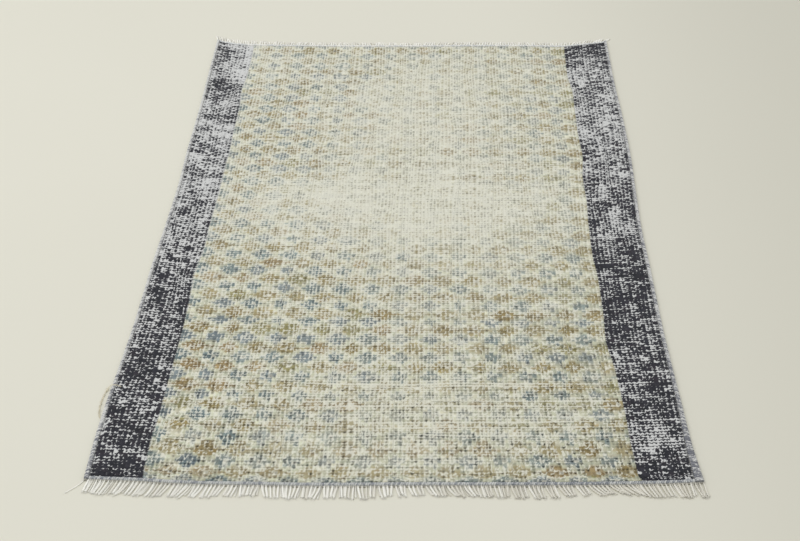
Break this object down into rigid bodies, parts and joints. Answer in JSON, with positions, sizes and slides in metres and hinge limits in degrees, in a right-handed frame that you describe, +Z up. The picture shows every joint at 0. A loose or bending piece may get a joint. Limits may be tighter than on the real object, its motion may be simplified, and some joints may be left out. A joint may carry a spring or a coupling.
{
  "type": "anatolian rug",
  "caption": "Small hand-knotted flat rug with dark side bands, faded lozenge field, overcast sides and a cut fringe at each end.",
  "frame": {"origin": "on the floor under the middle of the rug's box", "axes": "+X across the rug to the right, +Y along the rug from the near end to the far end, +Z up out of the pile"},
  "size_m": [1.0656, 1.7678, 0.0087],
  "materials": {
    "knotted_pile": "worn low wool pile, matt, cotton foundation showing",
    "side_cord_wool": "overcast wool yarn, matt",
    "end_overlock_yarn": "overlock stitched yarn, matt",
    "fringe_cotton": "twisted unbleached cotton, matt",
    "loose_yarn": "loose wool ply, matt"
  },
  "bodies": {
    "root": {"rug_body": "knotted_pile", "side_binding_left": "side_cord_wool", "side_binding_right": "side_cord_wool", "end_binding_near": "end_overlock_yarn", "end_binding_far": "end_overlock_yarn", "fringe_near": "fringe_cotton", "fringe_far": "fringe_cotton", "loose_thread": "loose_yarn"}
  },
  "joints": []
}
